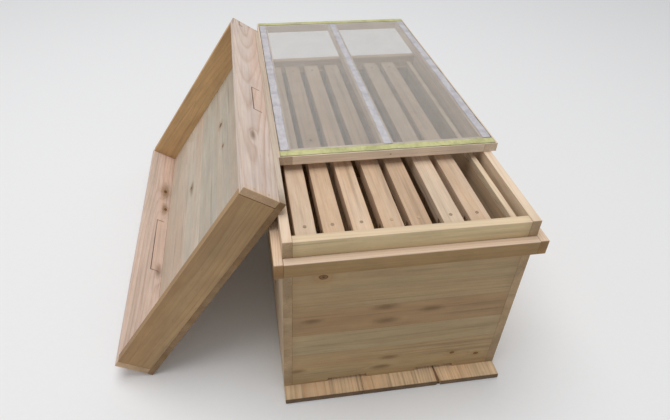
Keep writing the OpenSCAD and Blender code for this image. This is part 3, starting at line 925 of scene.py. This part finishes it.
def tape_strip(mesh, low, high, along, seed, inset):
    """A thin tape that is stuck down unevenly: wrinkled across, with wavy edges and small cross creases."""
    other = 1 - along
    count = int((high[along] - low[along]) / TAPE_STEP)
    shift = Vector((seed * 3.7, seed * 1.3, 0))
    rows = []
    for i in range(count + 1):
        run = low[along] + (high[along] - low[along]) * i / count
        edge_a = TAPE_WAVE * noise.noise(Vector((run * 40, 0, 0)) + shift)
        edge_b = TAPE_WAVE * noise.noise(Vector((run * 40, 9, 0)) + shift)
        crease = max(0, noise.noise(Vector((run * 160, 4, 0)) + shift)) ** 2
        row = []
        for lane in range(TAPE_LANES + 1):
            share = lane / TAPE_LANES
            place = Vector((0, 0, 0))
            place[along] = run
            left = low[other] + inset + edge_a
            right = high[other] - inset + edge_b
            place[other] = left * (1 - share) + right * share
            lift = 0.5 + 0.5 * noise.noise(Vector((place.x * 210, place.y * 210, 1)) + shift)
            wrinkle = TAPE_LIFT * lift * lift + TAPE_CREASE * crease * math.sin(math.pi * share)
            place.z = low.z + TAPE_FILM + wrinkle
            row.append(mesh.verts.new(place))
        rows.append(row)
    for one, two in zip(rows, rows[1:]):
        for lane in range(TAPE_LANES):
            corner = (one[lane], one[lane + 1], two[lane + 1], two[lane])
            mesh.faces.new(corner if along == 1 else tuple(reversed(corner)))


def solid_boxes(node):
    """The boxes of a CAD node's separate solids, from its loose groups of vertices."""
    mesh = bmesh.new()
    mesh.from_mesh(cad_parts[node].data)
    bmesh.ops.remove_doubles(mesh, verts=mesh.verts, dist=1e-6)
    left = set(mesh.verts)
    boxes = []
    while left:
        stack = [left.pop()]
        group = []
        while stack:
            vertex = stack.pop()
            group.append(vertex.co.copy())
            for edge in vertex.link_edges:
                friend = edge.other_vert(vertex)
                if friend in left:
                    left.remove(friend)
                    stack.append(friend)
        boxes.append(corner_box(group))
    mesh.free()
    return sorted(boxes, key=lambda pair: tuple(pair[0]))


def cover_tape(name, node, material, along, inset):
    """Tapes along the rails. The outermost long ones lie right out to the cover's edge."""
    mesh = bmesh.new()
    boxes = solid_boxes(node)
    edge_low, edge_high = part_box("cover_mesh")
    for index, (low, high) in enumerate(boxes):
        if along == 1 and index == 0:
            low.x = edge_low.x + TAPE_EDGE
        if along == 1 and index == len(boxes) - 1:
            high.x = edge_high.x - TAPE_EDGE
        tape_strip(mesh, low, high, along, index + 5 * along, inset)
    piece = new_object(name, mesh, material, smooth=True)
    body = piece.modifiers.new("film", "SOLIDIFY")
    body.thickness = TAPE_FILM
    body.offset = -1
    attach(piece, "mesh_cover")
    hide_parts(node)


# ---------------------------------------------------------------- roof

# The panel's edge joints and marks: shares of its width and length, and each mark's radius in millimetres
PANEL_CUTS = (0.19, 0.41, 0.58, 0.79)
PANEL_TONES = ((0.98, 0.3, 0.1), (0.97, 0.1, 0.0), (0.91, -0.45, 0.0), (0.9, -0.3, 0.1), (0.88, -0.4, 0.0),
               (0.98, 0.2, 0.0))
PANEL_KNOTS = ((0.61, 0.695, 4.6), (0.63, 0.55, 2.8), (0.3, 0.58, 2.6), (0.31, 0.57, -4.0),
               (0.13, 0, -5.6), (0.36, 0, -6.2), (0.7, 0, -5.6), (0.985, 0, -5.6))
# Marks on the long boards, in millimetres: towards the rear from the middle, up from the panel's outer face,
# and then a knot's radius or a repair strip's half length
LOWER_KNOTS = ((140, 22, 3.6), (140, 22, -6.0), (85, 17, 3.0), (85, 19, -4.0), (-85, 16, -3.4))
UPPER_KNOTS = ((-150, 40, -3.0),)
LOWER_INLAY = (-20, 22, 66)
UPPER_INLAY = (-35, 24, 36)
ROOF_TONES = {"upper": (0.96, 0.05, 0.9), "lower": (0.97, 0.25, 0.3), "front": (0.79, 0.4, 0.3),
              "rear": (1.18, 0.4, 0.2)}
# Pith of the upper board, close under its face, which gives pointed rings
CATHEDRAL = (2 * MM, 30 * MM, -0.06)


def roof():
    low, high = turned_box("roof_panel", ROOF_TURN)
    middle = (low.y + high.y) / 2
    outside = low.z
    board_low, board_high = turned_box("roof_lower_board", ROOF_TURN)
    rim = board_high.x - board_low.x
    panel = Piece("roof_panel_planks", "roof", "pine_roof_panel", ["roof_panel"], ROOF_TURN)
    cuts = [low.x + (high.x - low.x) * share for share in PANEL_CUTS] + [high.x - rim]
    marks = [(low.x + (high.x - low.x) * across, low.y + (high.y - low.y) * back, high.z, radius * MM)
             for across, back, radius in PANEL_KNOTS]
    planks(panel, low, high, 0, cuts, 1, 810, PANEL_TONES, marks, rub=0.0)
    panel.finish()
    for index, (side, tone) in enumerate(ROOF_TONES.items()):
        name = f"roof_{side}_board"
        long_side = side in ("upper", "lower")
        slot = "pine_roof_long" if long_side else "pine_roof_short"
        piece = Piece(name + "_wood", "roof", slot, [name], ROOF_TURN)
        low, high = turned_box(name, ROOF_TURN)
        if long_side:
            spots, inlay = (LOWER_KNOTS, LOWER_INLAY) if side == "lower" else (UPPER_KNOTS, UPPER_INLAY)
            marks = [(low.x, middle + back * MM, outside + up * MM, reach * MM)
                     for back, up, reach in spots + (inlay,)]
            piece.board(low, high, 1, 830 + index, tone, knots=marks[:-1], inlay=marks[-1], bevel=0.9 * MM,
                        rub=0.15, pith=CATHEDRAL if side == "upper" else None, snug=(2,))
        else:
            piece.board(low, high, 0, 830 + index, tone, bevel=0.4 * MM, rub=0.05, snug=(2,))
        piece.finish()


# Frames whose nails are covered with filler, like all the small brads
FILLED_NAILS = ("frame4", "frame5")


def nails():
    for name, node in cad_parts.items():
        if name.endswith("_nails"):
            node.data.materials.clear()
            bare = name.startswith("frame") and not name.startswith(FILLED_NAILS)
            node.data.materials.append(STEEL if bare else BRAD)


# ---------------------------------------------------------------- stage, lights, camera

FLOOR_SHADE = (0.86, 0.86, 0.86, 1)
FLOOR_LIGHT = (0.88, 0.88, 0.88, 1)
FLOOR_SIZE = 16
# The floor lies this far below the hive's flat underside
FLOOR_GAP = 0.3 * MM
KEY_PLACE = (-0.45, 0.1, 3.2)
KEY_TARGET = (0, 0, 0.2)
KEY_SIZE = 2.4
KEY_POWER = 56
WORLD_COLOR = (0.97, 0.98, 1.0, 1)
WORLD_STRENGTH = 0.5
CAMERA_PLACE = (-0.2045, -0.707, 0.7525)
CAMERA_AZIMUTH = math.radians(-8.8)
CAMERA_ELEVATION = math.radians(34.45)
CAMERA_ROLL = math.radians(1.3)
CAMERA_LENS = 28.4
CAMERA_SHIFT = (0.038, -0.092)


def stage():
    s = Shader("studio_floor")
    place = s.node("ShaderNodeTexCoord").outputs["Object"]
    grain = s.noise(place, scale=120, detail=2.0)
    color = s.mix(grain, FLOOR_SHADE, FLOOR_LIGHT)
    rough = s.stretch(grain, 0.2, 0.8, 0.85, 0.95)
    material = s.finish(color, rough, grain, 0.02 * MM, Specular_IOR_Level=0.1)
    bpy.ops.mesh.primitive_grid_add(x_subdivisions=8, y_subdivisions=8, size=FLOOR_SIZE,
                                    location=(0, 0, -FLOOR_GAP))
    floor = bpy.context.object
    floor.name = "studio_floor"
    floor.data.materials.append(material)


def lights():
    light = bpy.data.lights.new("key", "AREA")
    light.shape = "DISK"
    light.size = KEY_SIZE
    light.energy = KEY_POWER
    holder = bpy.data.objects.new("key", light)
    holder.location = KEY_PLACE
    holder.rotation_euler = (Vector(KEY_TARGET) - Vector(KEY_PLACE)).to_track_quat("-Z", "Y").to_euler()
    bpy.context.scene.collection.objects.link(holder)
    world = bpy.data.worlds.new("studio")
    bpy.context.scene.world = world
    world.use_nodes = True
    background = world.node_tree.nodes["Background"]
    background.inputs["Color"].default_value = WORLD_COLOR
    background.inputs["Strength"].default_value = WORLD_STRENGTH
    bpy.context.scene.view_settings.view_transform = "Standard"


def camera():
    flat = math.cos(CAMERA_ELEVATION)
    forward = Vector((-math.sin(CAMERA_AZIMUTH) * flat, math.cos(CAMERA_AZIMUTH) * flat,
                      -math.sin(CAMERA_ELEVATION)))
    level = Vector((math.cos(CAMERA_AZIMUTH), math.sin(CAMERA_AZIMUTH), 0))
    upright = level.cross(forward)
    right = level * math.cos(CAMERA_ROLL) + upright * math.sin(CAMERA_ROLL)
    up = right.cross(forward)
    data = bpy.data.cameras.new("camera")
    data.lens = CAMERA_LENS
    data.sensor_width = 36
    data.shift_x, data.shift_y = CAMERA_SHIFT
    data.clip_start = 0.01
    holder = bpy.data.objects.new("camera", data)
    turn = Matrix((right, up, -forward)).transposed().to_4x4()
    holder.matrix_world = Matrix.Translation(CAMERA_PLACE) @ turn
    bpy.context.scene.collection.objects.link(holder)
    bpy.context.scene.camera = holder


camera()
lights()
stage()
floor_planks()
end_walls()
side_walls()
battens()
hive_frames()
division_board()
cover_rails()
cover_screen()
screen_fold()
cover_tape("cover_long_tapes", "cover_tapes", TAPE_WHITE, 1, WHITE_INSET)
cover_tape("cover_cross_tapes", "cover_end_tapes", TAPE_GREEN, 0, GREEN_INSET)
roof()
nails()

bpy.context.view_layer.update()
